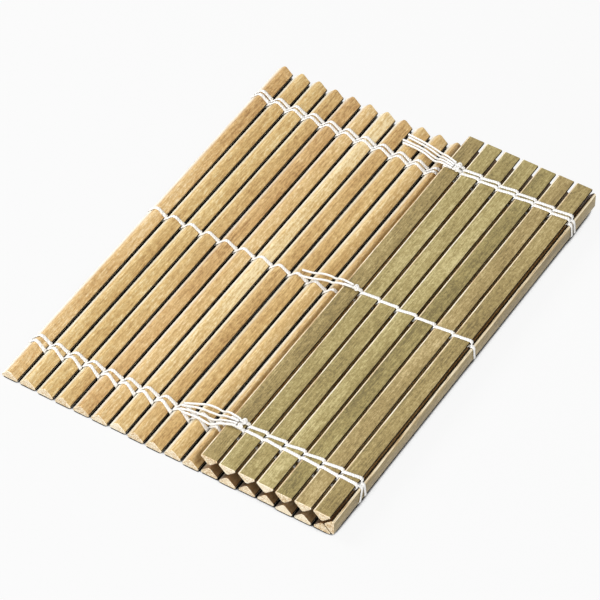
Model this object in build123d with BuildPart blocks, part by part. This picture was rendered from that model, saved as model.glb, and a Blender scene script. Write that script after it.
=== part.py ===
from build123d import *
from math import cos, radians, sin, tan
import os

os.makedirs("parts", exist_ok=True)

# A bamboo rolling mat, lying ridge side up with its right end folded over
# the rest. Millimetres, +Z up. The origin is on the table, under the centre
# of the folded mat. X runs across the slats, from the single layer towards
# the fold, and Y along them. Slats are numbered along the strings, from the
# left edge, through the fold, to the free edge that lies on top.

# Slats: flat bamboo skin on one side, a ridge on the other
slat_length = 240.0
slat_width = 9.0
slat_gap = 1.0
wall_height = 1.1
facet_angle = 45.0
ridge_flat = 0.5
relief_width = 0.6
relief_height = 0.7
lower_count = 18
upper_count = 7

# Strings: cotton pressed flat against the bamboo, turning at a small twist
# in the gap between two slats
string_width = 1.1
string_thickness = 0.6
string_clearance = 0.3
twist_clearance = 0.05
twist_sides = 6
hinge_rise = 0.4
fan_spread = 3.0
ridge_clearance = 0.7
overrun = 2.0

# Rows of string, as shares of the slat length from the front end
row_shares = {"front": 0.11, "middle": 0.515, "back": 0.91}

# Knots on the last slat, at a share of its width from the slat before
knot_radius = 1.3
knot_end_radius = 0.7
knot_taper = 0.8
knot_sides = 5
knot_place_share = 0.25

# Loose ends of string beyond the knots
tail_diameter = 1.1
tail_sides = 6
tail_bend_share = 0.45

# Sizes that follow
slope = radians(facet_angle)
pitch = slat_width + slat_gap
hinge_height = wall_height + hinge_rise
twist_radius = slat_gap / 2
ridge_top = wall_height + (slat_width - ridge_flat) / 2 * tan(slope)
layer_height = 2 * (ridge_top + string_thickness) + ridge_clearance
fold_pitch = layer_height - 2 * hinge_height
fold_slat_width = fold_pitch - slat_gap
fold_number = lower_count + 1
slat_count = lower_count + 1 + upper_count
left_x = -(lower_count * pitch + hinge_height + slat_gap / 2) / 2
fold_x = left_x + lower_count * pitch + hinge_height
skin_z = string_thickness
facet_out = string_thickness * sin(slope)
facet_up = string_thickness * cos(slope)
mitre = string_thickness * tan(slope / 2)
side_step = string_width + string_clearance
twine_step = side_step / 2

# Pairs of strings in each row, as the sideways place of the string that
# passes over a slat's ridge, at the slat's first gap and at its second. The
# string under the skin runs back from the second place to the first.
near_pair = (-twine_step, twine_step)
fan_pair = (-twine_step - side_step, -twine_step - side_step - fan_spread)
twin_pair = (-twine_step - 2 * side_step, twine_step - 2 * side_step)
row_pairs = {
    "front": [near_pair, fan_pair],
    "middle": [near_pair],
    "back": [near_pair, twin_pair],
}


def row_y(row):
    """Place of a row along the slats."""
    return (row_shares[row] - 0.5) * slat_length


def width_of(number):
    """Width of a slat: the one at the fold is a little narrower."""
    return fold_slat_width if number == fold_number else slat_width


def slat_place(number):
    """Frame of a slat: origin in the middle of its skin, +X to the next slat, +Z to its ridge."""
    if number <= lower_count:
        middle = (left_x + (number - 1) * pitch + pitch / 2, 0, skin_z)
        return Plane(origin=middle, x_dir=(1, 0, 0), z_dir=(0, 0, 1))
    if number == fold_number:
        middle = (fold_x, 0, skin_z + layer_height / 2)
        return Plane(origin=middle, x_dir=(0, 0, 1), z_dir=(-1, 0, 0))
    steps = number - fold_number
    middle = (left_x + (lower_count - steps) * pitch + pitch / 2, 0, skin_z + layer_height)
    return Plane(origin=middle, x_dir=(-1, 0, 0), z_dir=(0, 0, -1))


def ridge_height(half_width):
    """Height of the ridge over the skin."""
    return wall_height + (half_width - ridge_flat / 2) * tan(slope)


def make_slat(width):
    """One slat, as its cross-section drawn out along Y."""
    half = width / 2
    top = ridge_height(half)
    with BuildPart() as slat:
        with BuildSketch(Plane.XZ):
            with BuildLine():
                Polyline(
                    (-half + relief_width, 0),
                    (half - relief_width, 0),
                    (half, relief_height),
                    (half, wall_height),
                    (ridge_flat / 2, top),
                    (-ridge_flat / 2, top),
                    (-half, wall_height),
                    (-half, relief_height),
                    close=True,
                )
            make_face()
        extrude(amount=slat_length / 2, both=True)
    return slat.part


def band_outline(half_pitch, first_y, second_y):
    """Plan of one string, straight from its place in one gap to its place in the next."""
    lean = (second_y - first_y) / (2 * half_pitch)
    reach = half_pitch + overrun
    start_y = first_y - lean * overrun
    end_y = second_y + lean * overrun
    return [
        (-reach, start_y - string_width / 2),
        (reach, end_y - string_width / 2),
        (reach, end_y + string_width / 2),
        (-reach, start_y + string_width / 2),
    ]


def make_over_string(width, first_y, second_y, first_open=True, second_open=True):
    """A string over the ridge. At an open end it meets the twist in the gap."""
    half = width / 2
    half_pitch = half + slat_gap / 2
    top = ridge_height(half)
    first_x = half_pitch - twist_radius - twist_clearance
    first_z = wall_height + (half - first_x) * tan(slope)
    first_end = [(-first_x, first_z + string_thickness / cos(slope)), (-first_x, first_z)]
    if not first_open:
        first_end = [(-half - facet_out, wall_height + facet_up), (-half, wall_height)]
    with BuildPart() as string:
        with BuildSketch(Plane.XZ):
            with BuildLine():
                Polyline(
                    *first_end,
                    (-ridge_flat / 2, top),
                    (ridge_flat / 2, top),
                    (half, wall_height),
                    (half + facet_out, wall_height + facet_up),
                    (ridge_flat / 2 + mitre, top + string_thickness),
                    (-ridge_flat / 2 - mitre, top + string_thickness),
                    close=True,
                )
            make_face()
            if second_open:
                with Locations((half_pitch, hinge_height)):
                    RegularPolygon(twist_radius, twist_sides)
        extrude(amount=slat_length / 2, both=True)
        with BuildSketch(Plane.XY):
            with BuildLine():
                Polyline(*band_outline(half_pitch, first_y, second_y), close=True)
            make_face()
        extrude(amount=top + overrun, both=True, mode=Mode.INTERSECT)
    return string.part


def riser_outline(half, way, top_z):
    """The string beside a slat's wall, from under the skin up into the gap."""
    outside = half + slat_gap / 2 - twist_clearance
    return [
        (way * (half - relief_width), 0),
        (way * (half - relief_width), -string_thickness),
        (way * half, -string_thickness),
        (way * outside, outside - half - string_thickness),
        (way * outside, top_z),
        (way * half, min(top_z, wall_height)),
        (way * half, relief_height),
    ]


def make_under_string(width, first_y, second_y, first_open=True, second_open=True):
    """A string under the skin, rising at each open end into the gap between two slats."""
    half = width / 2
    half_pitch = half + slat_gap / 2
    with BuildPart() as string:
        with BuildSketch(Plane.XZ):
            Rectangle(width - 2 * relief_width, string_thickness, align=(Align.CENTER, Align.MAX))
            if first_open:
                first_top = hinge_height - twist_radius - twist_clearance
                with BuildLine():
                    Polyline(*riser_outline(half, -1, first_top), close=True)
                make_face()
            if second_open:
                with BuildLine():
                    Polyline(*riser_outline(half, 1, hinge_height), close=True)
                make_face()
                with Locations((half_pitch, hinge_height)):
                    RegularPolygon(twist_radius, twist_sides)
        extrude(amount=slat_length / 2, both=True)
        with BuildSketch(Plane.XY):
            with BuildLine():
                Polyline(*band_outline(half_pitch, first_y, second_y), close=True)
            make_face()
        extrude(amount=hinge_height + overrun, both=True, mode=Mode.INTERSECT)
    return string.part


def make_edge_turn(width, place_y, way):
    """The string round the outer edge of the first or the last slat."""
    half = width / 2
    skin_half = half - relief_width
    outside = half + string_thickness
    with BuildPart() as turn:
        with BuildSketch(Plane.XZ.offset(-place_y)):
            with BuildLine():
                Polyline(
                    (way * skin_half, 0),
                    (way * half, relief_height),
                    (way * half, wall_height),
                    (way * (half + facet_out), wall_height + facet_up),
                    (way * outside, wall_height),
                    (way * outside, relief_height - string_thickness / 2),
                    (way * (outside - relief_width), -string_thickness),
                    (way * skin_half, -string_thickness),
                    close=True,
                )
            make_face()
        extrude(amount=string_width / 2, both=True)
    return turn.part


def make_pair(width, first_y, second_y):
    """The two strings of one pair on a slat between two others."""
    over = make_over_string(width, first_y, second_y)
    under = make_under_string(width, second_y, first_y)
    with BuildPart() as pair:
        add(over)
        add(under)
    return pair.part


def make_first_loop(width, first_y, second_y):
    """The loop that starts a pair, round the first slat."""
    loop_y = (first_y + second_y) / 2
    over = make_over_string(width, loop_y, second_y, first_open=False)
    under = make_under_string(width, loop_y, first_y, first_open=False)
    turn = make_edge_turn(width, loop_y, -1)
    with BuildPart() as loop:
        add(over)
        add(turn)
        add(under)
    return loop.part


def make_last_loop(width, first_y, second_y):
    """The loop that ends a pair, round the last slat."""
    loop_y = (first_y + second_y) / 2
    over = make_over_string(width, first_y, loop_y, second_open=False)
    under = make_under_string(width, second_y, loop_y, second_open=False)
    turn = make_edge_turn(width, loop_y, 1)
    with BuildPart() as loop:
        add(over)
        add(turn)
        add(under)
    return loop.part


def make_wrap(width, make):
    """All the strings on one slat, row by row, in the slat's own frame."""
    pieces = []
    for row, pairs in row_pairs.items():
        for first_y, second_y in pairs:
            pieces.append((row_y(row), make(width, first_y, second_y)))
    with BuildPart() as wrap:
        for place_y, piece in pieces:
            with Locations((0, place_y, 0)):
                add(piece)
    return wrap.part


def bead_outline(radius):
    """Half of a regular polygon, with its flat side down."""
    turns = [radians(180 * side / knot_sides) for side in range(knot_sides + 1)]
    return [(radius * cos(turn), radius * sin(turn)) for turn in turns]


def make_knot(row):
    """A knot that gathers a row's strings: a short bead, flat where it lies on the strings."""
    sides = [place for pair in row_pairs[row] for place in pair]
    half_length = (max(sides) - min(sides) + string_width) / 2
    middle_y = row_y(row) + (max(sides) + min(sides)) / 2
    knot_x = (knot_place_share - 0.5) * slat_width
    sections = [
        (-half_length, knot_end_radius),
        (knot_taper - half_length, knot_radius),
        (half_length - knot_taper, knot_radius),
        (half_length, knot_end_radius),
    ]
    with BuildPart() as knot:
        for along, radius in sections:
            origin = (knot_x, middle_y + along, -string_thickness)
            with BuildSketch(Plane(origin=origin, x_dir=(1, 0, 0), z_dir=(0, 1, 0))):
                with BuildLine():
                    Polyline(*bead_outline(radius), close=True)
                make_face()
        loft(ruled=True)
    return knot.part


# Tail routes, from the knot over the free edge and down onto the ridges of
# the single layer: X from the left edge of the mat, Y from the row, and Z
tail_routes = {
    "front": [
        [
            (115.5, -4.0, 14.7), (109.0, -6.6, 14.8), (104.5, -6.2, 10.1),
            (101.0, -5.0, 7.6), (95.5, -4.0, 7.4), (87.5, -5.0, 7.4),
        ],
        [
            (115.5, -2.6, 14.7), (108.9, -4.3, 14.8), (104.5, -3.2, 10.0), (100.4, -1.8, 7.6),
            (95.0, -1.8, 7.4), (90.2, -2.4, 7.35), (85.2, -3.9, 7.4),
        ],
        [
            (115.5, -1.2, 14.7), (109.0, -1.6, 14.8), (104.6, 0.2, 10.1), (100.3, 1.6, 7.6),
            (95.0, 1.4, 7.4), (90.0, 0.4, 7.35), (85.0, -2.0, 7.4),
        ],
        [
            (115.5, 0.2, 14.7), (109.0, 1.3, 14.8), (104.5, 2.9, 10.0), (100.2, 5.2, 7.6),
            (95.0, 5.0, 7.4), (90.5, 2.6, 7.35), (84.8, -0.3, 7.4),
        ],
    ],
    "middle": [
        [
            (115.5, -0.8, 14.7), (109.0, -1.6, 14.8), (104.5, 0.2, 10.0), (100.8, 2.2, 7.65),
            (97.0, 1.2, 7.4), (93.0, -0.7, 7.4), (86.8, -1.9, 7.35),
        ],
        [
            (115.5, 0.7, 14.7), (109.2, 1.2, 14.9), (104.6, 3.2, 10.1), (100.3, 5.6, 7.6),
            (95.6, 4.9, 7.4), (91.8, 2.6, 7.35), (86.5, 1.9, 7.4),
        ],
    ],
    "back": [
        [
            (115.5, -3.5, 14.7), (109.1, -2.8, 14.9), (104.6, 0.0, 10.1), (100.8, 2.6, 7.6),
            (95.2, 4.8, 7.35), (88.4, 5.3, 7.4), (83.0, 5.0, 7.4),
        ],
        [
            (115.5, -2.1, 14.7), (108.9, -1.0, 14.8), (104.4, 2.0, 10.0), (100.4, 4.7, 7.6),
            (94.6, 6.5, 7.4), (88.2, 6.9, 7.35), (82.0, 6.8, 7.4),
        ],
        [
            (115.5, -0.7, 14.7), (109.2, 0.6, 14.9), (104.8, 4.0, 10.2), (101.0, 6.9, 7.7),
            (95.4, 8.6, 7.35), (89.0, 9.3, 7.4), (83.5, 9.7, 7.4),
        ],
        [
            (115.5, 0.7, 14.7), (109.0, 2.6, 14.8), (104.5, 6.3, 10.0), (100.6, 9.1, 7.65),
            (95.0, 10.4, 7.4), (89.0, 11.0, 7.35), (82.5, 11.4, 7.4),
        ],
    ],
}


def make_tails(row):
    """The loose ends of one row: six-sided tubes of straight runs and tangent arcs."""
    paths = []
    for route in tail_routes[row]:
        points = [Vector(left_x + x, row_y(row) + y, z) for x, y, z in route]
        runs = [end - start for start, end in zip(points, points[1:])]
        radii = []
        for before, after in zip(runs, runs[1:]):
            turn = radians(before.get_angle(after))
            radii.append(tail_bend_share * min(before.length, after.length) / tan(turn / 2))
        with BuildLine():
            path = FilletPolyline(*points, radius=radii)
        paths.append(path)
        print(row, "tail: length", round(path.length, 1), "radii", [round(r, 1) for r in radii])
    with BuildPart() as tails:
        for path in paths:
            with BuildSketch(Plane(origin=path @ 0, z_dir=path % 0)) as section:
                RegularPolygon(tail_diameter / 2, tail_sides)
            sweep(path=path)
    expected = section.sketch.area * sum(path.length for path in paths)
    print(row, "tails: volume", round(tails.part.volume, 2), "expected", round(expected, 2))
    return tails.part


def write(part, label):
    """Name a finished piece and write it to its own file."""
    part.label = label
    export_step(part, f"parts/{label}.step")


slat_shapes = {width: make_slat(width) for width in (slat_width, fold_slat_width)}
wraps = {width: make_wrap(width, make_pair) for width in (slat_width, fold_slat_width)}
first_wrap = make_wrap(slat_width, make_first_loop)
last_wrap = make_wrap(slat_width, make_last_loop)

for number in range(1, slat_count + 1):
    wrap_shape = wraps[width_of(number)]
    if number == 1:
        wrap_shape = first_wrap
    if number == slat_count:
        wrap_shape = last_wrap
    with BuildPart() as slat:
        with Locations(slat_place(number)):
            add(slat_shapes[width_of(number)])
    write(slat.part, f"slat_{number:02d}")
    with BuildPart() as string_wrap:
        with Locations(slat_place(number)):
            add(wrap_shape)
    write(string_wrap.part, f"string_wrap_{number:02d}")

for row in row_shares:
    knot_shape = make_knot(row)
    with BuildPart() as end_knot:
        with Locations(slat_place(slat_count)):
            add(knot_shape)
    write(end_knot.part, f"end_knot_{row}")
    write(make_tails(row), f"string_tail_{row}")
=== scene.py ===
# %% [markdown]
# # A sushi rolling mat
#
# A rolling mat is a row of bamboo slats, tied side by side with cotton string.
# Each slat has a flat side, the bamboo's own skin, and a ridge side cut as a low roof.
# The mat lies ridge side up, and its last seven slats are folded back over the rest.
# This lesson dresses the imported CAD model: the solids say where all is, and Blender gives the looks.
# First the imported model is loaded.

# %% Load the imported model
import math
import random

import bmesh
import bpy
from mathutils import Matrix, Vector


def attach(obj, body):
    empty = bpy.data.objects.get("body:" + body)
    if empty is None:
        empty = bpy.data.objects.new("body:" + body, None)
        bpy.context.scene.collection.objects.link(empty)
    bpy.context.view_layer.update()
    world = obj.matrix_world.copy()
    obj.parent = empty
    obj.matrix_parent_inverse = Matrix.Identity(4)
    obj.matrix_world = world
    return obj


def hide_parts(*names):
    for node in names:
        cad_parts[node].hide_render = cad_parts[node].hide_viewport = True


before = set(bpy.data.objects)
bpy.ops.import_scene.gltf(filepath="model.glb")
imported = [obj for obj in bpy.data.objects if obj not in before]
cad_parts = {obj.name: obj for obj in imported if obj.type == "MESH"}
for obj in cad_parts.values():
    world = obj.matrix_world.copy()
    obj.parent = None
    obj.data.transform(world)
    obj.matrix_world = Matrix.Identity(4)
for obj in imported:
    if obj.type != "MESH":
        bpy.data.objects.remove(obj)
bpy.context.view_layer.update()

# %% [markdown]
# ## The camera
#
# The photograph is taken from far away with a long lens, so the slats look almost parallel.
# A camera could be placed by eye, but it is quicker to work out its place from a few slat ends.
# The angles below say from where the camera looks, and the lens comes from the image's scale.

# %% Camera
azimuth = math.radians(32.137)
elevation = math.radians(47.585)
camera_distance = 1.7324
camera_reach = 20.0
look_at = Vector((0.00366, -0.00968, 0.005))
sensor_width = 36.0
focal_pixels = 3682.6
image_width = 600

back_way = Vector((
    math.sin(azimuth) * math.cos(elevation),
    -math.cos(azimuth) * math.cos(elevation),
    math.sin(elevation),
))
camera_data = bpy.data.cameras.new("mat_camera")
camera_data.sensor_width = sensor_width
camera_data.lens = focal_pixels / image_width * sensor_width
camera_data.clip_end = camera_reach
camera = bpy.data.objects.new("mat_camera", camera_data)
camera.location = look_at + back_way * camera_distance
camera.rotation_euler = (-back_way).to_track_quat("-Z", "Y").to_euler()
bpy.context.scene.collection.objects.link(camera)
bpy.context.scene.camera = camera
print("lens:", round(camera_data.lens, 1), "mm")

# %% [markdown]
# ## Twisted cotton
#
# The string is soft white cotton of two strands twisted round each other.
# It could be modelled strand by strand, but a string this thin needs only the shade of its twist.
# So the material reads the string's own UV map: U runs along it and V round it.
# A wave that leans across both draws the twist, and fine noise makes the fibres fuzzy.

# %% Helpers for materials
def new_material(name):
    """An empty node material, its node tree and its shader."""
    material = bpy.data.materials.new(name)
    material.use_nodes = True
    tree = material.node_tree
    tree.nodes.clear()
    output = tree.nodes.new("ShaderNodeOutputMaterial")
    shader = tree.nodes.new("ShaderNodeBsdfPrincipled")
    tree.links.new(shader.outputs["BSDF"], output.inputs["Surface"])
    return material, tree, shader


def math_node(tree, operation, first, second=None):
    """A Math node whose inputs are numbers or other nodes' outputs."""
    node = tree.nodes.new("ShaderNodeMath")
    node.operation = operation
    for place, value in enumerate((first, second)):
        if value is None:
            continue
        if isinstance(value, (int, float)):
            node.inputs[place].default_value = value
        else:
            tree.links.new(value, node.inputs[place])
    return node.outputs[0]


def noise_node(tree, coordinates, scale, detail=3.0, roughness=0.55):
    """Noise whose scale may differ along X, Y and Z."""
    mapping = tree.nodes.new("ShaderNodeMapping")
    mapping.inputs["Scale"].default_value = scale
    tree.links.new(coordinates, mapping.inputs["Vector"])
    noise = tree.nodes.new("ShaderNodeTexNoise")
    noise.inputs["Scale"].default_value = 1.0
    noise.inputs["Detail"].default_value = detail
    noise.inputs["Roughness"].default_value = roughness
    tree.links.new(mapping.outputs["Vector"], noise.inputs["Vector"])
    return noise.outputs["Fac"]


def ramp_node(tree, value, stops):
    """A colour ramp with its stops given as (place, colour)."""
    ramp = tree.nodes.new("ShaderNodeValToRGB")
    elements = ramp.color_ramp.elements
    elements[0].position, elements[0].color = stops[0][0], (*stops[0][1], 1.0)
    elements[1].position, elements[1].color = stops[-1][0], (*stops[-1][1], 1.0)
    for position, colour in stops[1:-1]:
        element = elements.new(position)
        element.color = (*colour, 1.0)
    tree.links.new(value, ramp.inputs["Fac"])
    return ramp.outputs["Color"]


def finish_surface(tree, shader, colour, roughness, height, bump_strength, bump_depth):
    """Joins the colour and a bump to the shader, and sets how dull the surface is."""
    tree.links.new(colour, shader.inputs["Base Color"])
    shader.inputs["Roughness"].default_value = roughness
    bump = tree.nodes.new("ShaderNodeBump")
    bump.inputs["Strength"].default_value = bump_strength
    bump.inputs["Distance"].default_value = bump_depth
    tree.links.new(height, bump.inputs["Height"])
    tree.links.new(bump.outputs["Normal"], shader.inputs["Normal"])


# %% The cotton material
ply_count = 2
tail_turns = 16
strand_turns = 5
fuzz_scale = (5200, 5200, 5200)
fuzz_share = 0.5
ply_share = 0.7


def make_cotton(name, turns):
    """White cotton with so many turns of twist from one end of a string to the other."""
    material, tree, shader = new_material(name)
    places = tree.nodes.new("ShaderNodeTexCoord")
    split = tree.nodes.new("ShaderNodeSeparateXYZ")
    tree.links.new(places.outputs["UV"], split.inputs["Vector"])
    along = math_node(tree, "MULTIPLY", split.outputs["X"], turns * ply_count)
    round_it = math_node(tree, "MULTIPLY", split.outputs["Y"], ply_count)
    turn = math_node(tree, "MULTIPLY", math_node(tree, "ADD", along, round_it), 2 * math.pi)
    wave = math_node(tree, "SINE", turn)
    ply = math_node(tree, "ADD", math_node(tree, "MULTIPLY", wave, 0.5), 0.5)
    fuzz = noise_node(tree, places.outputs["Object"], fuzz_scale, 2.0)
    fuzzy = math_node(tree, "MULTIPLY", fuzz, fuzz_share)
    height = math_node(tree, "ADD", math_node(tree, "POWER", ply, 0.5), fuzzy)
    shade = math_node(tree, "ADD", math_node(tree, "MULTIPLY", ply, ply_share), fuzzy)
    colour = ramp_node(tree, shade, [
        (0.1, (0.70, 0.65, 0.57)), (0.35, (0.90, 0.88, 0.84)), (0.8, (0.97, 0.96, 0.94)),
    ])
    shader.inputs["Sheen Weight"].default_value = 0.15
    finish_surface(tree, shader, colour, 0.85, height, 0.6, 0.00025)
    return material


tail_cotton = make_cotton("cotton_tail", tail_turns)
strand_cotton = make_cotton("cotton_strand", strand_turns)
print("cotton:", tail_cotton.name, strand_cotton.name)

# %% [markdown]
# ## The loose ends of the string
#
# At the mat's free edge each row of string is knotted, and its ends are left hanging.
# They drop off the folded part and lie on the ridges of the slats below.
# A string could be bent bone by bone, but a NURBS curve does it with a few control points.
# The curve runs near its points and not through them, which rounds it as soft string is.
# A round bevel of the string's own thickness gives it its body.

# %% Routes of the loose ends
mat_left = -0.091
row_y = {"front": -0.0936, "middle": 0.0036, "back": 0.0984}
tail_routes = {
    "front": [
        [
            (0.1155, -0.0040, 0.0147), (0.1090, -0.0066, 0.0148), (0.1045, -0.0062, 0.0101),
            (0.1010, -0.0050, 0.0076), (0.0955, -0.0040, 0.0074), (0.0875, -0.0050, 0.0074),
        ],
        [
            (0.1155, -0.0026, 0.0147), (0.1089, -0.0043, 0.0148), (0.1045, -0.0032, 0.0100),
            (0.1004, -0.0018, 0.0076), (0.0950, -0.0018, 0.0074), (0.0902, -0.0024, 0.00735),
            (0.0852, -0.0039, 0.0074),
        ],
        [
            (0.1155, -0.0012, 0.0147), (0.1090, -0.0016, 0.0148), (0.1046, 0.0002, 0.0101),
            (0.1003, 0.0016, 0.0076), (0.0950, 0.0014, 0.0074), (0.0900, 0.0004, 0.00735),
            (0.0850, -0.0020, 0.0074),
        ],
        [
            (0.1155, 0.0002, 0.0147), (0.1090, 0.0013, 0.0148), (0.1045, 0.0029, 0.0100),
            (0.1002, 0.0052, 0.0076), (0.0950, 0.0050, 0.0074), (0.0905, 0.0026, 0.00735),
            (0.0848, -0.0003, 0.0074),
        ],
    ],
    "middle": [
        [
            (0.1155, -0.0008, 0.0147), (0.1090, -0.0016, 0.0148), (0.1045, 0.0002, 0.0100),
            (0.1008, 0.0022, 0.00765), (0.0970, 0.0012, 0.0074), (0.0930, -0.0007, 0.0074),
            (0.0868, -0.0019, 0.00735),
        ],
        [
            (0.1155, 0.0007, 0.0147), (0.1092, 0.0012, 0.0149), (0.1046, 0.0032, 0.0101),
            (0.1003, 0.0056, 0.0076), (0.0956, 0.0049, 0.0074), (0.0918, 0.0026, 0.00735),
            (0.0865, 0.0019, 0.0074),
        ],
    ],
    "back": [
        [
            (0.1155, -0.0035, 0.0147), (0.1091, -0.0028, 0.0149), (0.1046, 0.0000, 0.0101),
            (0.1008, 0.0026, 0.0076), (0.0952, 0.0048, 0.00735), (0.0884, 0.0053, 0.0074),
            (0.0830, 0.0050, 0.0074),
        ],
        [
            (0.1155, -0.0021, 0.0147), (0.1089, -0.0010, 0.0148), (0.1044, 0.0020, 0.0100),
            (0.1004, 0.0047, 0.0076), (0.0946, 0.0065, 0.0074), (0.0882, 0.0069, 0.00735),
            (0.0820, 0.0068, 0.0074),
        ],
        [
            (0.1155, -0.0007, 0.0147), (0.1092, 0.0006, 0.0149), (0.1048, 0.0040, 0.0102),
            (0.1010, 0.0069, 0.0077), (0.0954, 0.0086, 0.00735), (0.0890, 0.0093, 0.0074),
            (0.0835, 0.0097, 0.0074),
        ],
        [
            (0.1155, 0.0007, 0.0147), (0.1090, 0.0026, 0.0148), (0.1045, 0.0063, 0.0100),
            (0.1006, 0.0091, 0.00765), (0.0950, 0.0104, 0.0074), (0.0890, 0.0110, 0.00735),
            (0.0825, 0.0114, 0.0074),
        ],
    ],
}
print("loose ends:", {row: len(routes) for row, routes in tail_routes.items()})

# %% The loose ends as curves
string_diameter = 0.0011
free_edge_body = "link_26"


def curve_length(curve):
    """Length of a curve along its centre, read from its points with no bevel."""
    bare = curve.data.copy()
    bare.bevel_depth = 0.0
    carrier = bpy.data.objects.new("measuring_curve", bare)
    mesh = bpy.data.meshes.new_from_object(carrier)
    places = [vertex.co for vertex in mesh.vertices]
    length = sum((end - start).length for start, end in zip(places, places[1:]))
    bpy.data.objects.remove(carrier)
    bpy.data.meshes.remove(mesh)
    bpy.data.curves.remove(bare)
    return length


def make_tail(name, points):
    """One loose end: a NURBS curve with a round bevel."""
    data = bpy.data.curves.new(name, "CURVE")
    data.dimensions = "3D"
    data.resolution_u = 10
    data.bevel_depth = string_diameter / 2
    data.bevel_resolution = 2
    data.use_fill_caps = True
    spline = data.splines.new("NURBS")
    spline.points.add(len(points) - 1)
    for point, place in zip(spline.points, points):
        point.co = (*place, 1.0)
    spline.order_u = 3
    spline.use_endpoint_u = True
    data.materials.append(tail_cotton)
    curve = bpy.data.objects.new(name, data)
    bpy.context.scene.collection.objects.link(curve)
    return curve


for row, routes in tail_routes.items():
    for number, route in enumerate(routes, start=1):
        points = [Vector((mat_left + x, row_y[row] + y, z)) for x, y, z in route]
        tail = make_tail(f"loose_end_{row}_{number}", points)
        length = curve_length(tail)
        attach(tail, free_edge_body)
        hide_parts(f"string_tail_{row}")
        print(tail.name, "length", round(length * 1000, 1), "mm")

# %% [markdown]
# ## The faces of a slat
#
# A slat is split from the wall of a bamboo stem, so each of its faces shows another kind of wood.
# Its flat side is the stem's skin: smooth, olive, with fine lines along it.
# One long edge of the skin is shaved off. It is pale, dense wood, and its pale colour is partly a painted
# highlight from the left lamp.
# The low walls are painted nearly black: painted shade, for the deep narrow gaps they face.
# The cut sides show the fibres inside: warm tan, streaked and spotted.
# They carry a painted highlight towards one wall and painted shade along the other.
# The ends show the fibres cut across, as pale wood with small dots.
# A picture of bamboo could be wrapped round, but noise drawn out along the slat repeats nowhere.
# Each slat also carries a tone and a tint of its own, so no two neighbours match exactly.

# %% Helpers for bamboo
def attribute_node(tree, name):
    """A value that each slat keeps in its own mesh."""
    attribute = tree.nodes.new("ShaderNodeAttribute")
    attribute.attribute_name = name
    return attribute.outputs["Fac"]


def sum_node(tree, parts):
    """The sum of some values, each given with its share."""
    total = None
    for value, share in parts:
        part = math_node(tree, "MULTIPLY", value, share)
        total = part if total is None else math_node(tree, "ADD", total, part)
    return total


def rise_node(tree, value, start, slope):
    """Rises from 0 at the start up to 1; with a negative slope it rises below the start."""
    risen = math_node(tree, "MULTIPLY", math_node(tree, "SUBTRACT", value, start), slope)
    return math_node(tree, "MINIMUM", math_node(tree, "MAXIMUM", risen, 0.0), 1.0)


def add_tone(tree, value, share):
    """Moves a value by a share of the slat's own tone."""
    tone = math_node(tree, "MULTIPLY", attribute_node(tree, "slat_tone"), share)
    return math_node(tree, "ADD", value, tone)


def mix_node(tree, blend, factor, first, second):
    """A Mix node for colours, whose inputs are values or other nodes' outputs."""
    node = tree.nodes.new("ShaderNodeMix")
    node.data_type = "RGBA"
    node.blend_type = blend
    for socket, value in (("Factor", factor), ("A", first), ("B", second)):
        place = next(one for one in node.inputs if one.name == socket and one.enabled)
        if isinstance(value, (float, tuple)):
            place.default_value = value
        else:
            tree.links.new(value, place)
    return next(one for one in node.outputs if one.enabled)


def add_tint(tree, colour, warm, cool):
    """Leans the colour towards a warmer or a cooler one, by the slat's own tint."""
    tint = attribute_node(tree, "slat_tint")
    lean_to = mix_node(tree, "MIX", tint, (*warm, 1.0), (*cool, 1.0))
    return mix_node(tree, "MULTIPLY", 1.0, colour, lean_to)


def object_places(tree):
    """The places on the piece itself, in metres."""
    return tree.nodes.new("ShaderNodeTexCoord").outputs["Object"]


# %% The cut sides
# Scales are given along X, Y and Z. The slats run along Y, and a small scale there draws noise out.
fibre_scale = (1500, 90, 1500)
spot_scale = (900, 330, 900)
patch_scale = (110, 16, 110)
# A place across the slat is -1 at one wall, 0 at the ridge and 1 at the other wall.
# Painted highlight: the cut side pales towards the wall at -1, on the facet that the left lamp lights.
highlight_below = -0.30
highlight_slope = -2.2
# Painted shade: the cut side turns near black along the wall at 1, where it runs down into the gap.
gap_shade_above = 0.89
gap_shade_slope = 20.0
gap_shade_colour = (0.030, 0.018, 0.008, 1.0)
# Painted shade: the tips of the covered slats turn dark brown, where the fold shades the holes between
# their ends.
tip_shade_colour = (0.125, 0.048, 0.015, 1.0)


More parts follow.
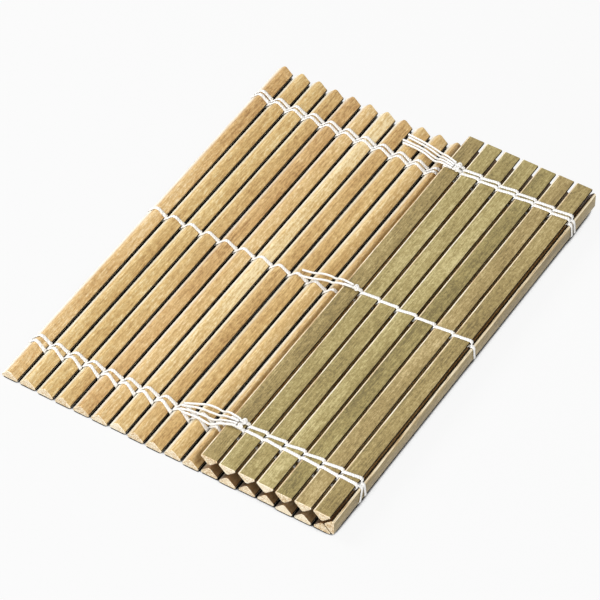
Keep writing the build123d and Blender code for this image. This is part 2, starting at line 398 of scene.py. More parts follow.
def make_cut_bamboo():
    """The cut sides: tan fibres, with a painted highlight towards one wall and painted shade along the
    other.
    """
    material, tree, shader = new_material("bamboo_cut")
    place = object_places(tree)
    fibres = noise_node(tree, place, fibre_scale, 4.0, 0.65)
    spots = noise_node(tree, place, spot_scale, 3.0, 0.8)
    patches = noise_node(tree, place, patch_scale, 2.0)
    mixed = sum_node(tree, [(fibres, 0.36), (spots, 0.42), (patches, 0.22)])
    mixed = add_tone(tree, mixed, 0.06)
    colour = ramp_node(tree, mixed, [
        (0.35, (0.34, 0.19, 0.065)), (0.44, (0.56, 0.36, 0.145)),
        (0.52, (0.70, 0.50, 0.235)), (0.62, (0.90, 0.76, 0.50)),
    ])
    # The pale colours of the painted highlight.
    pale = ramp_node(tree, mixed, [
        (0.35, (0.78, 0.62, 0.40)), (0.47, (0.94, 0.88, 0.75)), (0.58, (0.99, 0.97, 0.92)),
    ])
    side = attribute_node(tree, "slat_side")
    painted_highlight = rise_node(tree, side, highlight_below, highlight_slope)
    colour = mix_node(tree, "MIX", painted_highlight, colour, pale)
    # Painted shade along the wall at 1.
    gap_shade = rise_node(tree, side, gap_shade_above, gap_shade_slope)
    colour = mix_node(tree, "MIX", gap_shade, colour, gap_shade_colour)
    # Painted shade at the tips of the covered slats.
    colour = mix_node(tree, "MIX", attribute_node(tree, "slat_tip_shade"), colour, tip_shade_colour)
    colour = add_tint(tree, colour, (1.0, 0.965, 0.94), (0.97, 0.98, 0.90))
    finish_surface(tree, shader, colour, 0.45, mixed, 0.35, 0.0005)
    return material


cut_bamboo = make_cut_bamboo()
print("cut sides:", cut_bamboo.name)

# %% The skin
line_scale = (2200, 60, 2200)
grain_scale = (1100, 520, 1100)
scuff_scale = (90, 14, 90)


def make_skin_bamboo():
    """The skin: olive, smooth, with fine lines and a few paler scuffs."""
    material, tree, shader = new_material("bamboo_skin")
    place = object_places(tree)
    lines = noise_node(tree, place, line_scale, 3.0, 0.6)
    grain = noise_node(tree, place, grain_scale, 3.0, 0.8)
    scuffs = noise_node(tree, place, scuff_scale, 2.0)
    mixed = sum_node(tree, [(lines, 0.32), (grain, 0.46), (scuffs, 0.22)])
    mixed = add_tone(tree, mixed, 0.03)
    colour = ramp_node(tree, mixed, [
        (0.37, (0.13, 0.094, 0.030)), (0.46, (0.265, 0.198, 0.072)),
        (0.53, (0.37, 0.288, 0.118)), (0.63, (0.60, 0.50, 0.27)),
    ])
    colour = add_tint(tree, colour, (1.0, 0.95, 0.93), (0.96, 1.0, 0.92))
    finish_surface(tree, shader, colour, 0.42, mixed, 0.2, 0.0003)
    return material


skin_bamboo = make_skin_bamboo()
print("skin:", skin_bamboo.name)

# %% The ends, the low walls and the bare edge
dot_scale = 1700.0
end_patch_scale = (500, 500, 500)
rim_scale = (1500, 60, 1500)
edge_scale = (1500, 70, 1500)
rim_shine = 0.1


def make_end_bamboo():
    """The cut ends: pale wood with the dark dots of fibres cut across."""
    material, tree, shader = new_material("bamboo_end")
    place = object_places(tree)
    dots = tree.nodes.new("ShaderNodeTexVoronoi")
    dots.inputs["Scale"].default_value = dot_scale
    tree.links.new(place, dots.inputs["Vector"])
    patches = noise_node(tree, place, end_patch_scale, 3.0)
    mixed = sum_node(tree, [(dots.outputs["Distance"], 0.6), (patches, 0.6)])
    mixed = add_tone(tree, mixed, 0.10)
    colour = ramp_node(tree, mixed, [
        (0.24, (0.33, 0.19, 0.08)), (0.38, (0.60, 0.42, 0.22)),
        (0.54, (0.80, 0.63, 0.40)), (0.70, (0.93, 0.83, 0.64)),
    ])
    finish_surface(tree, shader, colour, 0.7, mixed, 0.3, 0.0003)
    return material


def make_rim_painted_shade():
    """The low walls: painted shade, nearly black, for the deep narrow gaps between the slats."""
    material, tree, shader = new_material("bamboo_rim_painted_shade")
    fibres = noise_node(tree, object_places(tree), rim_scale, 4.0, 0.65)
    mixed = add_tone(tree, fibres, 0.05)
    # Painted shade: nearly black, because the gaps that these walls face get little light.
    colour = ramp_node(tree, mixed, [
        (0.36, (0.010, 0.006, 0.003)), (0.52, (0.020, 0.012, 0.006)), (0.66, (0.050, 0.032, 0.015)),
    ])
    shader.inputs["Specular IOR Level"].default_value = rim_shine
    finish_surface(tree, shader, colour, 0.8, mixed, 0.3, 0.0004)
    return material


def make_edge_and_highlight():
    """The shaved edge beside the skin: pale, dense wood with fine fibres along it, partly a painted
    highlight from the left lamp.
    """
    material, tree, shader = new_material("bamboo_edge_and_highlight")
    fibres = noise_node(tree, object_places(tree), edge_scale, 3.0, 0.6)
    mixed = add_tone(tree, fibres, 0.06)
    colour = ramp_node(tree, mixed, [
        (0.32, (0.50, 0.34, 0.16)), (0.45, (0.82, 0.67, 0.43)), (0.60, (0.95, 0.87, 0.69)),
    ])
    finish_surface(tree, shader, colour, 0.5, mixed, 0.2, 0.0003)
    return material


end_bamboo = make_end_bamboo()
rim_painted_shade = make_rim_painted_shade()
edge_bamboo_and_highlight = make_edge_and_highlight()
bamboo_faces = (cut_bamboo, skin_bamboo, end_bamboo, rim_painted_shade, edge_bamboo_and_highlight)
cut_face, skin_face, end_face, rim_shade_face, edge_highlight_face = range(len(bamboo_faces))
print("bamboo:", [material.name for material in bamboo_faces])

# %% [markdown]
# ## One slat, made once
#
# A slat is a long stick with a flat skin below, two low walls and two facets that meet in a ridge.
# It could be drawn as a section and pulled out, but from a box it takes three moves by hand.
# The box is the part between the walls. Its top face is pulled up and drawn in to make the roof.
# Then the long edges are rounded: widely where the skin is shaved off, and less at the ridge.
# The ends are eased, and each face gets its kind of wood by the way that it points.
# Cuts across the slat let it be bent a little later.
# At last its points and faces are sorted by place, because Blender may number them anew in each run.

# %% Sizes of a slat, in metres
slat_length = 0.240
slat_width = 0.009
slat_gap = 0.001
wall_height = 0.0011
lower_count = 18
fold_number = 19
slat_count = 26
fold_slat_width = 0.0086
layer_height = 0.0126
skin_z = 0.0006
pitch = slat_width + slat_gap
hinge_height = 0.0015
fold_x = mat_left + lower_count * pitch + hinge_height
print("slats:", slat_count, "at a pitch of", pitch * 1000, "mm")


# %% Helpers for work on a mesh
def let_go():
    """Leaves edit mode and deselects everything, so an operator touches only the new piece."""
    if bpy.context.mode != "OBJECT":
        bpy.ops.object.mode_set(mode="OBJECT")
    bpy.ops.object.select_all(action="DESELECT")


def take(piece):
    """Makes one piece selected and active."""
    let_go()
    piece.select_set(True)
    bpy.context.view_layer.objects.active = piece


def pick_edges(piece, test):
    """Selects the edges of the piece in edit mode that pass a test."""
    bpy.ops.mesh.select_mode(type="EDGE")
    bpy.ops.mesh.select_all(action="DESELECT")
    mesh = bmesh.from_edit_mesh(piece.data)
    for edge in mesh.edges:
        if test(edge.verts[0].co, edge.verts[1].co):
            edge.select_set(True)
    bmesh.update_edit_mesh(piece.data)


def pick_faces(piece, test):
    """Selects the faces of the piece in edit mode that pass a test."""
    bpy.ops.mesh.select_mode(type="FACE")
    bpy.ops.mesh.select_all(action="DESELECT")
    mesh = bmesh.from_edit_mesh(piece.data)
    mesh.normal_update()
    for face in mesh.faces:
        if test(face):
            face.select_set(True)
    bmesh.update_edit_mesh(piece.data)


# %% Model one slat
side_ease = 0.00015
bare_round = 0.00085
skin_round = 0.0002
wall_round = 0.00018
ridge_width = 0.0011
ridge_round = 0.00054
end_round = 0.00022
cut_count = 23
near = 1e-5


def is_long(a, b):
    """True for an edge that runs along the slat."""
    return abs(a.y - b.y) > slat_length / 2


def ease_ends(slat):
    """Draws the rim of both ends back a little, so each end is flat inside an eased edge."""
    mesh = bmesh.from_edit_mesh(slat.data)
    for vertex in mesh.verts:
        if not any(face.select and abs(face.normal.y) > 0.9 for face in vertex.link_faces):
            vertex.co.y *= 1 - end_round / slat_length * 2
    bmesh.update_edit_mesh(slat.data)


def place_number(place):
    """One number for a place, by its whole micrometres: first along the slat, then across, then up."""
    x, y, z = (round(value * 1e6) for value in place)
    return y * 1e8 + x * 1e4 + z


def settle_order(slat):
    """Sorts points, edges and faces by their place, so each run makes the very same mesh."""
    mesh = bmesh.from_edit_mesh(slat.data)
    mesh.verts.sort(key=lambda vertex: place_number(vertex.co))
    mesh.edges.sort(key=lambda edge: place_number((edge.verts[0].co + edge.verts[1].co) / 2))
    mesh.faces.sort(key=lambda face: place_number(face.calc_center_median()))
    for parts in (mesh.verts, mesh.edges, mesh.faces):
        parts.index_update()
    bmesh.update_edit_mesh(slat.data)


def round_edges(slat, height, side, size, segments):
    """Rounds the long edges at a height: on one side of the slat, or on both where the side is 0."""
    pick_edges(slat, lambda a, b: is_long(a, b) and abs(a.z - height) < near and a.x * side >= 0)
    bpy.ops.mesh.bevel(offset=size, segments=segments, affect="EDGES")


def make_slat(name, width):
    """One slat on its skin at the origin, ridge up."""
    let_go()
    width, wall = width - 2 * side_ease, wall_height + side_ease
    bpy.ops.mesh.primitive_cube_add(
        size=1, calc_uvs=False, location=(0, 0, wall / 2), scale=(width, slat_length, wall),
    )
    slat = bpy.context.object
    slat.name = name
    bpy.ops.object.transform_apply(location=True, rotation=True, scale=True)
    ridge = wall + (width - ridge_width) / 2
    bpy.ops.object.mode_set(mode="EDIT")
    pick_faces(slat, lambda face: face.normal.z > 0.9)
    bpy.ops.mesh.extrude_region_move(TRANSFORM_OT_translate={"value": (0, 0, ridge - wall)})
    bpy.ops.transform.resize(value=(ridge_width / width, 1, 1))
    round_edges(slat, 0.0, 1, bare_round, 3)
    round_edges(slat, 0.0, -1, skin_round, 2)
    round_edges(slat, wall, 0, wall_round, 2)
    round_edges(slat, ridge, 0, ridge_round, 3)
    pick_faces(slat, lambda face: abs(face.normal.y) > 0.9)
    bpy.ops.mesh.inset(thickness=end_round, depth=0)
    ease_ends(slat)
    for cut in range(cut_count):
        bpy.ops.mesh.select_all(action="SELECT")
        y = slat_length * ((cut + 1) / (cut_count + 1) - 0.5)
        bpy.ops.mesh.bisect(plane_co=(0, y, 0), plane_no=(0, 1, 0))
    bpy.ops.mesh.select_all(action="SELECT")
    bpy.ops.mesh.normals_make_consistent(inside=False)
    settle_order(slat)
    bpy.ops.object.mode_set(mode="OBJECT")
    return slat


# %% Give its faces their wood
slat_smooth_angle = math.radians(32)


def keep_values(mesh, name, values):
    """Keeps a value for each point of a mesh, for its materials to read."""
    mesh.attributes.new(name, "FLOAT", "POINT").data.foreach_set("value", values)


def face_wood(normal):
    """The material of a face, by the way that it points: the walls get painted shade, and the shaved edge
    is partly a painted highlight.
    """
    if abs(normal.y) > 0.5:
        return end_face
    # The shaved edge: pale wood, partly a painted highlight from the left lamp.
    if normal.x > 0.2 and normal.z < -0.2:
        return edge_highlight_face
    if normal.z < -0.6:
        return skin_face
    # The walls get painted shade, nearly black.
    if abs(normal.x) > 0.75:
        return rim_shade_face
    return cut_face


def paint_slat(slat):
    """Gives each face its material, and each point its place across the slat."""
    for material in bamboo_faces:
        slat.data.materials.append(material)
    for face in slat.data.polygons:
        face.material_index = face_wood(face.normal)
    keep_values(slat.data, "slat_side", [vertex.co.x / (slat_width / 2) for vertex in slat.data.vertices])
    take(slat)
    bpy.ops.object.shade_smooth_by_angle(angle=slat_smooth_angle)


master_slats = {}
for width in (slat_width, fold_slat_width):
    slat = make_slat("master_slat", width)
    paint_slat(slat)
    master_slats[width] = slat
    print("slat", round(width * 1000, 1), "mm wide:", len(slat.data.polygons), "faces")

# %% [markdown]
# ## Laying out the slats
#
# Eighteen slats lie ridge up, one stands at the fold, and seven lie over the others, ridge down.
# An array modifier could repeat the slat, but the fold turns it over and no two are quite alike.
# So each slat is a copy with its own mesh, bent and shortened a little, and then put in its place.
# The bends stay well inside the gaps, because the real slats lie close without touching.
# Where the mat is folded, the slats' tips get painted shade, dark brown, for the holes between their ends.
# The slat at the fold is darker than the others, and its painted highlight and painted shade reach further
# in.
# The first slat's outer wall is plain cut wood without the walls' painted shade, because it stands in no
# gap.

# %% Where the slats lie
upper_count = slat_count - fold_number


def slat_matrix(number):
    """Place of a slat: +X to the next slat, +Z to its ridge."""
    if number <= lower_count:
        return Matrix.Translation((mat_left + (number - 0.5) * pitch, 0, skin_z))
    if number == fold_number:
        turn = Matrix(((0, 0, -1), (0, 1, 0), (1, 0, 0))).to_4x4()
        return Matrix.Translation((fold_x, 0, skin_z + layer_height / 2)) @ turn
    steps = number - fold_number
    turn = Matrix.Diagonal((-1, 1, -1, 1))
    x = mat_left + (lower_count - steps + 0.5) * pitch
    return Matrix.Translation((x, 0, skin_z + layer_height)) @ turn


print("slats in the lower layer:", lower_count, "folded over:", upper_count)

# %% Lay out the slats
random.seed(7)
most_short = 0.0009
most_bow = 0.00012
most_sway = 0.00008
sway_turn = 4
fold_side_stretch = 1.3
fold_tone = -1.2
covered_from = lower_count - upper_count + 1
# Painted shade at the tips of the covered slats: how far in it reaches and how strong it is.
tip_shade_length = 0.030
tip_shade_strength = 0.85


def bend_slat(mesh):
    """Shortens the two ends a little and bows the slat sideways, within its gap."""
    short = [random.uniform(0.0, most_short), random.uniform(0.0, most_short)]
    bow = random.uniform(-most_bow, most_bow)
    sway = random.uniform(-most_sway, most_sway)
    phase = random.uniform(0, 2 * math.pi)
    half = slat_length / 2
    for vertex in mesh.vertices:
        along = vertex.co.y / half
        vertex.co.x += bow * (1 - along * along) + sway * math.sin(sway_turn * along + phase)
        end = short[0] if along < 0 else short[1]
        vertex.co.y *= 1 - end / half


def tip_shade_values(mesh):
    """How much painted shade each point gets: most at the slat's ends, and nothing past the tips."""
    from_end = [slat_length / 2 - abs(vertex.co.y) for vertex in mesh.vertices]
    return [tip_shade_strength * max(0.0, 1 - reach / tip_shade_length) for reach in from_end]


def mark_slat(number, mesh):
    """Writes into a slat what is its own: an outer wall without painted shade, a wider painted highlight
    and shade at the fold, painted shade at the tips, tone and tint.
    """
    if number == 1:
        # Slat 1's outer wall stands in no gap, so it takes cut wood in place of the painted shade.
        for face in mesh.polygons:
            if face.material_index == rim_shade_face and face.normal.x < 0:
                face.material_index = cut_face
    if number == fold_number:
        # On the fold slat the painted highlight and the painted shade reach further in.
        for side in mesh.attributes["slat_side"].data:
            side.value *= fold_side_stretch
    # Only the slats under the fold get painted shade at their tips.
    if number >= covered_from:
        keep_values(mesh, "slat_tip_shade", tip_shade_values(mesh))
    tone = random.uniform(-1.0, 1.0)
    tint = random.uniform(0.0, 1.0)
    if number == fold_number:
        tone = fold_tone
    keep_values(mesh, "slat_tone", [tone] * len(mesh.vertices))
    keep_values(mesh, "slat_tint", [tint] * len(mesh.vertices))


def lay_slat(number):
    """One slat of the mat, copied from the master, bent, marked and placed."""
    master = master_slats[fold_slat_width if number == fold_number else slat_width]
    slat = master.copy()
    slat.data = master.data.copy()
    slat.name = f"bamboo_slat_{number:02d}"
    bend_slat(slat.data)
    mark_slat(number, slat.data)
    slat.data.transform(slat_matrix(number))
    bpy.context.scene.collection.objects.link(slat)
    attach(slat, f"link_{number:02d}")
    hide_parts(f"slat_{number:02d}")
    return slat


slats = [lay_slat(number) for number in range(1, slat_count + 1)]

# %% [markdown]
# ## The strings over and under a slat
#
# Each row is woven by pairs of string: one passes over a slat while its partner passes under.
# In the gap they change places, so the twist holds the next slat.
# Each pair could be one long curve, but the slats fold, so every slat carries its own lengths.
# A short straight strand is made once, as a six-sided rod with a flattened section.
# It is copied, laid along a path over or under the slat, and the ends meet at the middle of a gap.

# %% Model a straight strand
strand_sides = 6
strand_width = 0.0018
strand_thickness = 0.0006
gap_spread = 0.3
over_cuts = 10
loop_cuts = 25
string_smooth_angle = math.radians(75)


def map_strand(mesh):
    """Writes the UV map of a straight strand: U along it and V round it."""
    uv_map = mesh.uv_layers.active or mesh.uv_layers.new(name="UVMap")
    for face in mesh.polygons:
        places = [mesh.vertices[mesh.loops[loop].vertex_index].co for loop in face.loop_indices]
        turns = [math.atan2(place.z, place.y) / (2 * math.pi) % 1 for place in places]
        crosses = max(turns) - min(turns) > 0.5
        for loop, place, turn in zip(face.loop_indices, places, turns):
            uv_map.data[loop].uv = (place.x, turn + 1 if crosses and turn < 0.5 else turn)


def make_strand(name, cuts):
    """A straight rod along X from 0 to 1, of radius 1, with cuts across it."""
    let_go()
    bpy.ops.mesh.primitive_cylinder_add(
        vertices=strand_sides, radius=1, depth=1, location=(0.5, 0, 0), rotation=(0, math.pi / 2, 0),
    )
    strand = bpy.context.object
    strand.name = name
    bpy.ops.object.transform_apply(location=True, rotation=True, scale=True)
    bpy.ops.object.mode_set(mode="EDIT")
    for cut in range(cuts):
        bpy.ops.mesh.select_all(action="SELECT")
        bpy.ops.mesh.bisect(plane_co=((cut + 1) / (cuts + 1), 0, 0), plane_no=(1, 0, 0))
    bpy.ops.object.mode_set(mode="OBJECT")
    map_strand(strand.data)
    take(strand)
    bpy.ops.object.shade_smooth_by_angle(angle=string_smooth_angle)
    strand.data.materials.append(strand_cotton)
    return strand


straight_strand = make_strand("master_strand", over_cuts)
loop_strand = make_strand("master_loop", loop_cuts)
print("strand faces:", len(straight_strand.data.polygons), "loop faces:", len(loop_strand.data.polygons))

# %% [markdown]
# ## Paths for the strands
#
# A path is a list of places across the slat, seen from its end, with the skin at height zero.
# Over the slat the strand lies on both facets and crosses the ridge.
# Under it the strand dips from the gap, lies flat on the skin, and rises again.
# The places could be joined by straight lines, but a smooth curve through them looks like soft string.

# %% Paths over and under a slat
strand_lift = strand_thickness / 2
fine_steps = 12


def over_path(half):
    """Places from the gap before the slat, over the ridge, to the gap after it."""
    hinge = half + slat_gap / 2
    top = wall_height + half - ridge_width / 2
    side = [
        (hinge, hinge_height), (hinge - 0.0004, hinge_height + 0.00024),
        (hinge - 0.0010, hinge_height + 0.00068), (hinge - 0.0022, hinge_height + 0.00183),
        (hinge - 0.0035, hinge_height + 0.00311), (0.0006, top - 0.00012 + strand_lift),
    ]
    return [(-x, z) for x, z in side] + [(0.0, top + strand_lift)] + side[::-1]


def under_path(half):
    """Places from the gap before the slat, under the skin, to the gap after it."""
    hinge = half + slat_gap / 2
    side = [
        (hinge, hinge_height), (hinge - 0.00003, 0.0011), (hinge - 0.00008, 0.0006),
        (hinge - 0.00022, 0.00012), (hinge - 0.00065, -0.00022), (hinge - 0.0014, -strand_lift),
        (hinge - 0.0030, -strand_lift),
    ]
    return [(-x, z) for x, z in side] + [(0.0, -strand_lift)] + side[::-1]


def smooth_path(places, count):
    """So many places at even steps along a smooth curve through the given ones."""
    fine = []
    last = len(places) - 1
    for index in range(last):
        before, start = places[max(index - 1, 0)], places[index]
        end, after = places[index + 1], places[min(index + 2, last)]
        for step in range(fine_steps):
            t = step / fine_steps
            fine.append(0.5 * (
                2 * start + (end - before) * t
                + (2 * before - 5 * start + 4 * end - after) * t * t
                + (3 * start - before - 3 * end + after) * t * t * t
            ))
    fine.append(places[-1])
    lengths = [0.0]
    for start, end in zip(fine, fine[1:]):
        lengths.append(lengths[-1] + (end - start).length)
    even, index = [], 0
    for step in range(count):
        goal = lengths[-1] * step / (count - 1)
        while index < len(fine) - 2 and lengths[index + 1] < goal:
            index += 1
        share = (goal - lengths[index]) / (lengths[index + 1] - lengths[index])
        even.append(fine[index].lerp(fine[index + 1], min(share, 1.0)))
    return even


print("places over:", len(over_path(slat_width / 2)), "under:", len(under_path(slat_width / 2)))


# %% Lay a strand along a path
def lay_strand(master, places, sway):
    """A copy of a straight strand, bent along the places. It sways a little, and is widest in the gaps."""
    strand = master.copy()
    strand.data = master.data.copy()
    rings = sorted({round(vertex.co.x, 4) for vertex in strand.data.vertices})
    path = smooth_path(places, len(rings))
    for vertex in strand.data.vertices:
        ring = rings.index(round(vertex.co.x, 4))
        way = (path[min(ring + 1, len(path) - 1)] - path[max(ring - 1, 0)]).normalized()
        side = (Vector((0, 1, 0)) - way * way.y).normalized()
        up = side.cross(way)
        share = ring / (len(path) - 1)
        shift = sway * math.sin(2 * math.pi * share) * math.sin(math.pi * share)
        wide = strand_width * (1 + gap_spread * abs(2 * share - 1) ** 3)
        sideways = side * (vertex.co.y * wide / 2 + shift)
        vertex.co = path[ring] + sideways + up * (vertex.co.z * strand_thickness / 2)
    bpy.context.scene.collection.objects.link(strand)
    return strand


def lean(path, first_y, second_y):
    """The same path with its place along the slat running evenly from one gap to the other."""
    first_x = path[0][0]
    width = path[-1][0] - first_x
    return [Vector((x, first_y + (second_y - first_y) * (x - first_x) / width, z)) for x, z in path]


# %% [markdown]
# ## All the strings of a slat
#
# The front row has two pairs. Where the mat is one layer the second pair fans out from the first
# on every slat, and where it is folded over, it runs beside the first like a long flat lens.
# The middle row has one pair, and the back row has two that run side by side.
# On the first and the last slat a pair is one loop round the slat's outer edge.
# All lengths on one slat are joined into one piece, because they move with it.

# %% The pairs of each row
near_pair = (-0.0007, 0.0007)
fan_pair = (-0.0022, -0.0042)
lens_pair = (-0.0033, -0.0037)
twin_pair = (-0.0033, -0.0020)
most_string_sway = 0.00018
outer_over_places = 3
outer_under_places = 6


def row_pairs(number):
    """The pairs of string in each row, with their places in the gaps before and after the slat."""
    second = fan_pair if number <= fold_number else lens_pair
    return {"front": [near_pair, second], "middle": [near_pair], "back": [near_pair, twin_pair]}


def edge_turn(half):
    """Places round the slat's outer edge, from the facet down to the skin."""
    return [
        (half - 0.0008, wall_height + 0.00125), (half + 0.00012, wall_height + 0.0003),
        (half + 0.0003, 0.0006), (half + 0.00005, 0.0),
        (half - 0.0006, -strand_lift), (half - 0.0014, -strand_lift),
    ]


def edge_loop(number, half, first_y, second_y):
    """One loop that comes over the slat, turns round its outer edge and goes back under it."""
    way = -1 if number == 1 else 1
    loop_y = (first_y + second_y) / 2
    gap_over, gap_under = (second_y, first_y) if number == 1 else (first_y, second_y)
    over = [Vector((-way * x, 0, z)) for x, z in over_path(half)[outer_over_places:][::-1]]
    turn = [Vector((way * x, loop_y, z)) for x, z in edge_turn(half)]
    under = [Vector((-way * x, 0, z)) for x, z in under_path(half)[outer_under_places:]]
    hinge = -way * (half + slat_gap / 2)
    reach = way * half - hinge
    for places, gap_y in ((over, gap_over), (under, gap_under)):
        for place in places:
            place.y = gap_y + (loop_y - gap_y) * (place.x - hinge) / reach
    return lay_strand(loop_strand, over + turn + under, 0.0)


def pair_strands(number, half, place_y, pair):
    """The strands of one pair on one slat."""
    first_y, second_y = place_y + pair[0], place_y + pair[1]
    sway = random.uniform(-most_string_sway, most_string_sway)
    if number in (1, slat_count):
        return [edge_loop(number, half, first_y, second_y)]
    over = lay_strand(straight_strand, lean(over_path(half), first_y, second_y), sway)
    under = lay_strand(straight_strand, lean(under_path(half), second_y, first_y), -sway)
    return [over, under]


print("string pairs on a slat:", sum(len(pairs) for pairs in row_pairs(1).values()))


# %% String the slats
def string_slat(number):
    """All the strands on one slat, joined and put in their place."""
    half = (fold_slat_width if number == fold_number else slat_width) / 2
    strands = []
    for row, pairs in row_pairs(number).items():
        for pair in pairs:
            strands.extend(pair_strands(number, half, row_y[row], pair))
    let_go()
    for strand in strands:
        strand.select_set(True)
    bpy.context.view_layer.objects.active = strands[0]
    bpy.ops.object.join()
    wrap = bpy.context.object
    wrap.name = f"strings_{number:02d}"
    wrap.data.transform(slat_matrix(number))
    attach(wrap, f"link_{number:02d}")
    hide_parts(f"string_wrap_{number:02d}")
    return wrap


wraps = [string_slat(number) for number in range(1, slat_count + 1)]
print("strings laid:", len(wraps), "faces on slat 2:", len(wraps[1].data.polygons))

# %% [markdown]
# ## The knots
#
# On the last slat each pair is tied off with an overhand knot, a small hard lump of string.
# It could be a ball, but an overhand knot has a path of its own: three loops that pass over each other.
# A closed curve follows that path, gets a round bevel and is made a mesh.

# %% Tie the knots
knot_x = mat_left + (lower_count - upper_count + 0.5) * pitch + 0.25 * slat_width
knot_lift = 0.00068
knot_z = skin_z + layer_height + strand_thickness + knot_lift
knot_loop = 0.00052
knot_rise = 0.0004
knot_string_radius = 0.00048
knot_steps = 24
knot_turn = 0.6
middle_knot_turn = 0.4


def tie_knot(name, centre, turned):
    """An overhand knot: a closed curve of three loops, made a mesh."""
    data = bpy.data.curves.new(name, "CURVE")
    data.dimensions = "3D"
    data.resolution_u = 3
    data.bevel_depth = knot_string_radius
    data.bevel_resolution = 2
    spline = data.splines.new("NURBS")
    spline.points.add(knot_steps - 1)
    for step, point in enumerate(spline.points):
        t = 2 * math.pi * step / knot_steps
        x = (math.sin(t) + 2 * math.sin(2 * t)) * knot_loop
        y = (math.cos(t) - 2 * math.cos(2 * t)) * knot_loop
        z = -math.sin(3 * t) * knot_rise
        turned_x = x * math.cos(turned) - y * math.sin(turned)
        turned_y = x * math.sin(turned) + y * math.cos(turned)
        point.co = (*(centre + Vector((turned_x, turned_y, z))), 1.0)
    spline.use_cyclic_u = True
    spline.order_u = 4
    curve = bpy.data.objects.new(name, data)
    bpy.context.scene.collection.objects.link(curve)
    take(curve)
    bpy.ops.object.convert(target="MESH")
    knot = bpy.context.object
    knot.data.materials.clear()
    knot.data.materials.append(tail_cotton)
    bpy.ops.object.shade_smooth_by_angle(angle=string_smooth_angle)
    return knot


for row, pairs in row_pairs(slat_count).items():
    for count, pair in enumerate(pairs, start=1):
        centre = Vector((knot_x, row_y[row] + (pair[0] + pair[1]) / 2, knot_z))
        turned = knot_turn * count + (middle_knot_turn if row == "middle" else 0.0)
        knot = tie_knot(f"knot_{row}_{count}", centre, turned)
        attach(knot, free_edge_body)
        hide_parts(f"end_knot_{row}")
        print(knot.name, "faces", len(knot.data.polygons))

# %% Remove the masters
for master in [*master_slats.values(), straight_strand, loop_strand]:
    bpy.data.objects.remove(master)

# %% [markdown]
# ## Floor and light
# Where there is little open air the floor's own colour darkens too: painted shade.
#
# The mat is photographed on white, in soft light.
# The floor is a pale plane. Seen by the camera it is mostly plain white.
# The small rest of it takes the mat's shadow.
# A white floor would shine up through the narrow gaps, which are black in the photograph.
# A mask in the mat's shape could darken it, but it would stay behind when the mat moves.
# So an Ambient Occlusion node asks how much open air is over each spot, and only open floor is white.
# Three lamps at a plain level light the mat: one from the left, one from the right and one low in front.
# The pale surroundings fill the rest.

# %% Which rays see the white surroundings
def seen_node(tree):
    """1 for rays from the camera, from glossy surfaces and through clear ones, and 0 for light."""
    rays = tree.nodes.new("ShaderNodeLightPath")
    seen = math_node(tree, "MAXIMUM", rays.outputs["Is Camera Ray"], rays.outputs["Is Glossy Ray"])
    return math_node(tree, "MAXIMUM", seen, rays.outputs["Is Transmission Ray"])


# %% The floor
floor_drop = 0.0001
nook_size = 0.02
open_above = 0.40
open_slope = 10.0
floor_gain = 0.48
floor_least = 0.02
white_share = 0.9

let_go()
bpy.ops.mesh.primitive_plane_add(size=6, location=(0, 0, -floor_drop))
floor = bpy.context.object
floor.name = "floor"
floor_material = bpy.data.materials.new("pale_floor")
floor_material.use_nodes = True
floor_tree = floor_material.node_tree
floor_tree.nodes.clear()
floor_output = floor_tree.nodes.new("ShaderNodeOutputMaterial")
floor_mix = floor_tree.nodes.new("ShaderNodeMixShader")
floor_diffuse = floor_tree.nodes.new("ShaderNodeBsdfDiffuse")
floor_white = floor_tree.nodes.new("ShaderNodeEmission")
floor_nook = floor_tree.nodes.new("ShaderNodeAmbientOcclusion")
floor_nook.inputs["Distance"].default_value = nook_size
open_air = rise_node(floor_tree, floor_nook.outputs["AO"], open_above, open_slope)
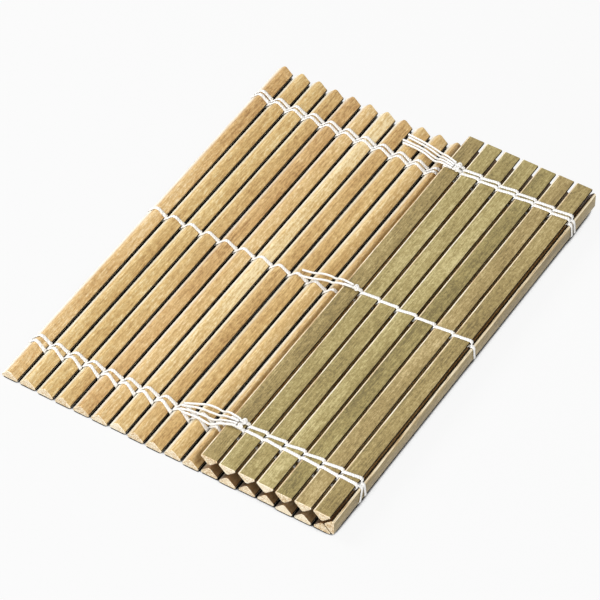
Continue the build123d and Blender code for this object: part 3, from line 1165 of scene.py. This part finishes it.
# Painted shade: the floor's colour darkens where the AO node finds little open air.
floor_colour_painted_shade = math_node(floor_tree, "MULTIPLY", open_air, floor_gain)
floor_colour_painted_shade = math_node(floor_tree, "ADD", floor_colour_painted_shade, floor_least)
floor_tree.links.new(floor_colour_painted_shade, floor_diffuse.inputs["Color"])
floor_share = math_node(floor_tree, "MULTIPLY", open_air, white_share)
floor_share = math_node(floor_tree, "MULTIPLY", seen_node(floor_tree), floor_share)
floor_tree.links.new(floor_share, floor_mix.inputs["Fac"])
floor_tree.links.new(floor_diffuse.outputs["BSDF"], floor_mix.inputs[1])
floor_tree.links.new(floor_white.outputs["Emission"], floor_mix.inputs[2])
floor_tree.links.new(floor_mix.outputs["Shader"], floor_output.inputs["Surface"])
floor.data.materials.append(floor_material)
print("floor:", floor.name, "white by", white_share)

# %% The lamps
lamps = [
    ("left_lamp", (-1.05, -0.20, 0.98), 0.6, 16.0),
    ("right_lamp", (0.95, -0.30, 0.93), 0.8, 10.0),
    ("front_lamp", (0.10, -1.60, 0.20), 0.6, 11.0),
]


def add_lamp(name, place, size, power):
    """A square lamp that looks at the mat."""
    data = bpy.data.lights.new(name, "AREA")
    data.size = size
    data.energy = power
    lamp = bpy.data.objects.new(name, data)
    lamp.location = place
    lamp.rotation_euler = (look_at - lamp.location).to_track_quat("-Z", "Y").to_euler()
    bpy.context.scene.collection.objects.link(lamp)


for name, place, size, power in lamps:
    add_lamp(name, place, size, power)
    print(name, power, "W")

# %% The surroundings
fill_level = 0.36

world = bpy.data.worlds.new("studio")
bpy.context.scene.world = world
world.use_nodes = True
world_tree = world.node_tree
world_tree.nodes.clear()
world_output = world_tree.nodes.new("ShaderNodeOutputWorld")
world_light = world_tree.nodes.new("ShaderNodeBackground")
world_rest = math_node(world_tree, "MULTIPLY", seen_node(world_tree), 1 - fill_level)
world_level = math_node(world_tree, "ADD", fill_level, world_rest)
world_tree.links.new(world_level, world_light.inputs["Strength"])
world_light.inputs["Color"].default_value = (1.0, 1.0, 1.0, 1.0)
world_tree.links.new(world_light.outputs["Background"], world_output.inputs["Surface"])
bpy.context.scene.view_settings.view_transform = "Standard"
print("fill light:", fill_level)
